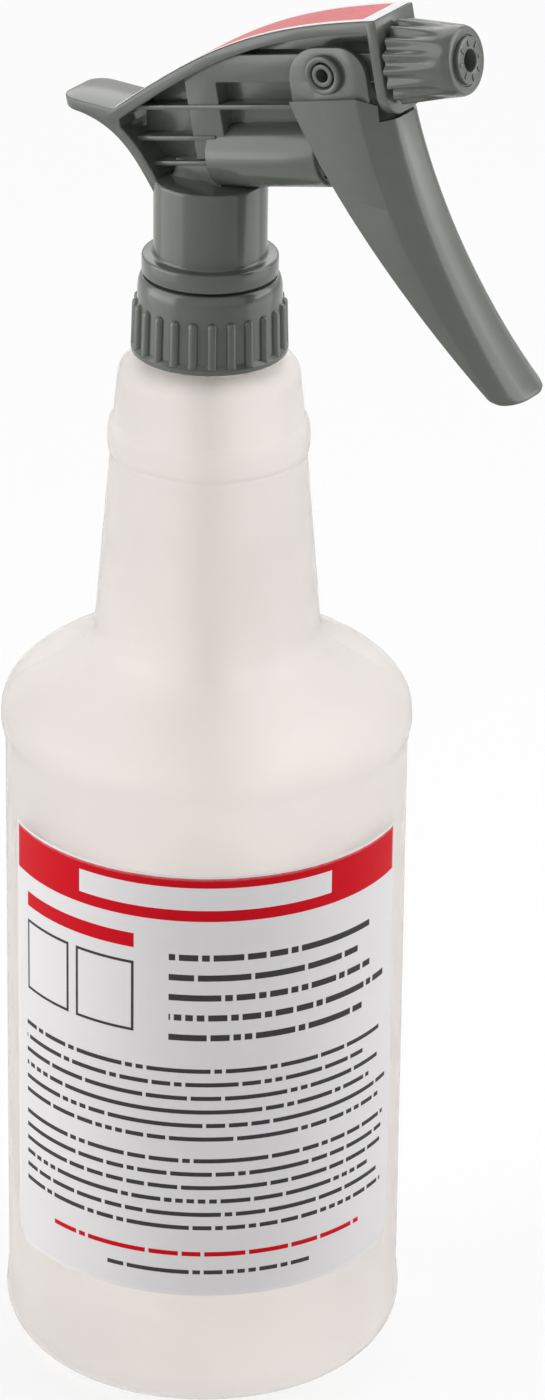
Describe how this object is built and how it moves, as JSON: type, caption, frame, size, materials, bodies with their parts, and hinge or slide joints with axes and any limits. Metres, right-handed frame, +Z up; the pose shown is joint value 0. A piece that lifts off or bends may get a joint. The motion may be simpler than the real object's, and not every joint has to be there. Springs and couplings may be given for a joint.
{
  "type": "trigger spray bottle",
  "caption": "Upright plastic bottle with a long tapered neck and wrap label, closed by a trigger sprayer with ribbed screw closure, pump, dip tube and fluted turning nozzle.",
  "frame": {"origin": "centre of the bottle's base, on the surface it stands on", "axes": "+Z up along the bottle's axis, +X the way the nozzle sprays, Y across the sprayer"},
  "size_m": [0.1235, 0.0894, 0.32],
  "materials": {
    "natural_hdpe": "satin, milky natural HDPE",
    "label_film": "satin printed film",
    "red_film": "satin printed film",
    "grey_plastic": "satin moulded polypropylene",
    "white_plastic": "satin",
    "gasket_foam": "matte",
    "dark_rubber": "matte",
    "tube_plastic": "satin, milky",
    "spring_steel": "bright drawn wire"
  },
  "bodies": {
    "bottle": {"bottle": "natural_hdpe", "bottle_label": "label_film"},
    "gasket": {"neck_gasket": "gasket_foam"},
    "closure": {"closure": "grey_plastic"},
    "sprayer": {"sprayer_body": "grey_plastic", "top_label": "red_film", "tube_retainer": "white_plastic", "dip_tube": "tube_plastic", "spinner": "white_plastic", "return_spring": "spring_steel", "outlet_spring": "spring_steel"},
    "trigger": {"trigger": "grey_plastic"},
    "piston": {"piston": "white_plastic", "piston_cup": "dark_rubber", "piston_wiper": "dark_rubber"},
    "inlet_ball": {"inlet_ball": "spring_steel"},
    "outlet_ball": {"outlet_ball": "spring_steel"},
    "nozzle_seal": {"nozzle_oring": "dark_rubber"},
    "nozzle": {"nozzle": "grey_plastic"}
  },
  "joints": [
    {"name": "head_lift", "type": "slide", "parent": "bottle", "child": "gasket", "axis": [0, 0, 1], "range_m": [0, 0.00847]},
    {"name": "closure_turn", "type": "hinge", "parent": "gasket", "child": "closure", "pos_m": [0, 0, 0.245], "axis": [0, 0, 1], "range_deg": [0, 722]},
    {"name": "head_swivel", "type": "hinge", "parent": "gasket", "child": "sprayer", "pos_m": [0, 0, 0.2518], "axis": [0, 0, 1], "continuous": true},
    {"name": "trigger_pull", "type": "hinge", "parent": "sprayer", "child": "trigger", "pos_m": [0.032, 0, 0.30633], "axis": [0, 1, 0], "range_deg": [0, 24], "stiffness_Nm_per_rad": 1.5, "springref_deg": -10.31},
    {"name": "piston_slide", "type": "slide", "parent": "sprayer", "child": "piston", "axis": [-0.9806, 0, -0.1959], "range_m": [0, 0.00808], "deforming": ["return_spring"]},
    {"name": "inlet_lift", "type": "slide", "parent": "sprayer", "child": "inlet_ball", "axis": [0, 0, 1], "range_m": [0, 0.0008]},
    {"name": "outlet_lift", "type": "slide", "parent": "sprayer", "child": "outlet_ball", "axis": [0.9806, 0, 0.1959], "range_m": [0, 0.001], "stiffness_N_per_m": 60, "springref_m": -0.005, "deforming": ["outlet_spring"]},
    {"name": "nozzle_advance", "type": "slide", "parent": "sprayer", "child": "nozzle_seal", "axis": [0.9806, 0, 0.1959], "range_m": [0, 0.0024]},
    {"name": "nozzle_turn", "type": "hinge", "parent": "nozzle_seal", "child": "nozzle", "pos_m": [0.04658, 0, 0.30991], "axis": [0.9806, 0, 0.1959], "range_deg": [0, 272]}
  ],
  "couplings": [
    {"joint": "closure_turn", "follows": "head_lift", "rad_per_m": 1484.3},
    {"joint": "piston_slide", "follows": "trigger_pull", "m_per_rad": 0.019232},
    {"joint": "nozzle_turn", "follows": "nozzle_advance", "rad_per_m": 1963.5}
  ]
}
